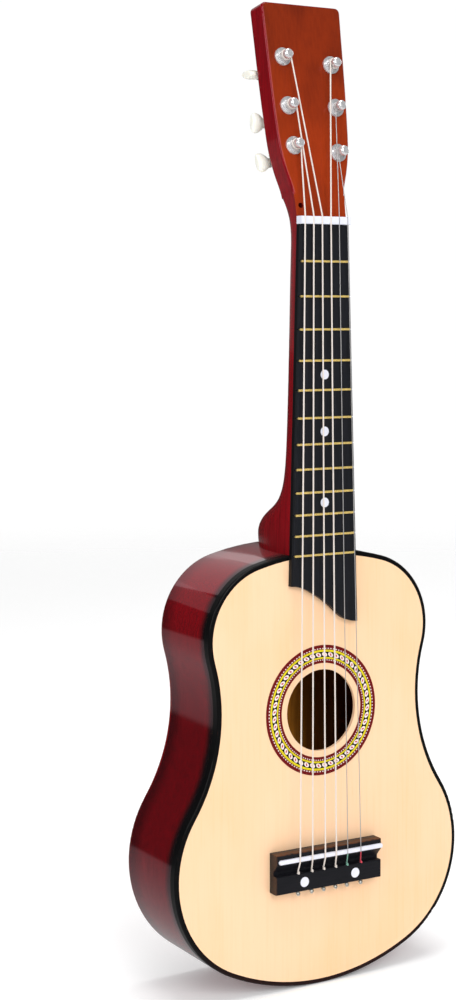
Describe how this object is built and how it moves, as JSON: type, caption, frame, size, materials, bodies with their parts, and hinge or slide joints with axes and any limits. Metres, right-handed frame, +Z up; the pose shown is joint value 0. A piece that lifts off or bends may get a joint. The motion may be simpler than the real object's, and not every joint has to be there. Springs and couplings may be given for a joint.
{
  "type": "toy acoustic guitar",
  "caption": "Small hollow-bodied toy guitar with a bolted bridge, a tilted head and geared string tuners that turn.",
  "frame": {"origin": "centre of the bounding box's lowest face, under the body's rounded end", "axes": "+Z up the neck, strings facing -Y, +X towards the thin strings"},
  "size_m": [0.182, 0.0626, 0.5357],
  "materials": {
    "maple_top": "satin clear lacquer on pale maple",
    "black_edge": "gloss black edge",
    "red_lacquer": "high-gloss burgundy lacquer",
    "rosette_decal": "printed ring",
    "bare_wood": "unfinished softwood",
    "black_wood": "black-stained hardwood",
    "white_plastic": "semi-gloss",
    "plated_steel": "nickel plate",
    "tuner_chrome": "polished",
    "fret_brass": "polished",
    "string_brass": "plain",
    "string_cream": "wound cord, pale",
    "string_steel": "plain wire",
    "cream_plastic": "moulded"
  },
  "bodies": {
    "root": {"soundboard": "maple_top", "front_binding": "black_edge", "bass_rim": "red_lacquer", "treble_rim": "red_lacquer", "back_plate": "red_lacquer", "rosette": "rosette_decal", "neck_block": "bare_wood", "end_block": "bare_wood", "linings": "bare_wood", "braces": "bare_wood", "bridge_plate": "bare_wood", "bridge": "black_wood", "saddle": "white_plastic", "bridge_dots": "white_plastic", "bridge_bolts": "plated_steel", "neck": "red_lacquer", "fretboard": "black_wood", "frets": "fret_brass", "position_dots": "white_plastic", "nut": "white_plastic", "tuner_bushings": "tuner_chrome", "tuner_plates": "plated_steel", "tuner_screws": "plated_steel", "ball_ends": "string_brass", "string_1": "string_cream", "string_2": "string_cream", "string_3": "string_cream", "string_4": "string_cream", "string_5": "string_steel", "string_6": "string_steel"},
    "tuner_1_button": {"worm_shaft_1": "plated_steel", "button_1": "cream_plastic"},
    "tuner_1_post": {"post_1": "tuner_chrome", "wheel_1": "fret_brass", "string_wraps_1": "string_cream"},
    "tuner_2_button": {"worm_shaft_2": "plated_steel", "button_2": "cream_plastic"},
    "tuner_2_post": {"post_2": "tuner_chrome", "wheel_2": "fret_brass", "string_wraps_2": "string_cream"},
    "tuner_3_button": {"worm_shaft_3": "plated_steel", "button_3": "cream_plastic"},
    "tuner_3_post": {"post_3": "tuner_chrome", "wheel_3": "fret_brass", "string_wraps_3": "string_cream"},
    "tuner_4_button": {"worm_shaft_4": "plated_steel", "button_4": "cream_plastic"},
    "tuner_4_post": {"post_4": "tuner_chrome", "wheel_4": "fret_brass", "string_wraps_4": "string_cream"},
    "tuner_5_button": {"worm_shaft_5": "plated_steel", "button_5": "cream_plastic"},
    "tuner_5_post": {"post_5": "tuner_chrome", "wheel_5": "fret_brass", "string_wraps_5": "string_steel"},
    "tuner_6_button": {"worm_shaft_6": "plated_steel", "button_6": "cream_plastic"},
    "tuner_6_post": {"post_6": "tuner_chrome", "wheel_6": "fret_brass", "string_wraps_6": "string_steel"}
  },
  "joints": [
    {"name": "button_1_turn", "type": "hinge", "parent": "root", "child": "tuner_1_button", "pos_m": [-0.0136, 0.00338, 0.4476], "axis": [1, 0, 0], "continuous": true},
    {"name": "post_1_turn", "type": "hinge", "parent": "root", "child": "tuner_1_post", "pos_m": [-0.0136, -0.01492, 0.45611], "axis": [0, -0.9848, 0.1736], "continuous": true},
    {"name": "button_2_turn", "type": "hinge", "parent": "root", "child": "tuner_2_button", "pos_m": [-0.0148, 0.00727, 0.46966], "axis": [1, 0, 0], "continuous": true},
    {"name": "post_2_turn", "type": "hinge", "parent": "root", "child": "tuner_2_post", "pos_m": [-0.0148, -0.01103, 0.47817], "axis": [0, -0.9848, 0.1736], "continuous": true},
    {"name": "button_3_turn", "type": "hinge", "parent": "root", "child": "tuner_3_button", "pos_m": [-0.0154, 0.01207, 0.49684], "axis": [1, 0, 0], "continuous": true},
    {"name": "post_3_turn", "type": "hinge", "parent": "root", "child": "tuner_3_post", "pos_m": [-0.0154, -0.00624, 0.50535], "axis": [0, -0.9848, 0.1736], "continuous": true},
    {"name": "button_4_turn", "type": "hinge", "parent": "root", "child": "tuner_4_button", "pos_m": [0.0158, 0.01158, 0.49408], "axis": [1, 0, 0], "continuous": true},
    {"name": "post_4_turn", "type": "hinge", "parent": "root", "child": "tuner_4_post", "pos_m": [0.0158, -0.00672, 0.50259], "axis": [0, -0.9848, 0.1736], "continuous": true},
    {"name": "button_5_turn", "type": "hinge", "parent": "root", "child": "tuner_5_button", "pos_m": [0.0162, 0.00732, 0.46996], "axis": [1, 0, 0], "continuous": true},
    {"name": "post_5_turn", "type": "hinge", "parent": "root", "child": "tuner_5_post", "pos_m": [0.0162, -0.01098, 0.47846], "axis": [0, -0.9848, 0.1736], "continuous": true},
    {"name": "button_6_turn", "type": "hinge", "parent": "root", "child": "tuner_6_button", "pos_m": [0.0149, 0.00286, 0.44465], "axis": [1, 0, 0], "continuous": true},
    {"name": "post_6_turn", "type": "hinge", "parent": "root", "child": "tuner_6_post", "pos_m": [0.0149, -0.01544, 0.45315], "axis": [0, -0.9848, 0.1736], "continuous": true}
  ],
  "couplings": [
    {"joint": "post_1_turn", "follows": "button_1_turn", "ratio": -0.076923},
    {"joint": "post_2_turn", "follows": "button_2_turn", "ratio": -0.076923},
    {"joint": "post_3_turn", "follows": "button_3_turn", "ratio": -0.076923},
    {"joint": "post_4_turn", "follows": "button_4_turn", "ratio": -0.076923},
    {"joint": "post_5_turn", "follows": "button_5_turn", "ratio": -0.076923},
    {"joint": "post_6_turn", "follows": "button_6_turn", "ratio": -0.076923}
  ]
}
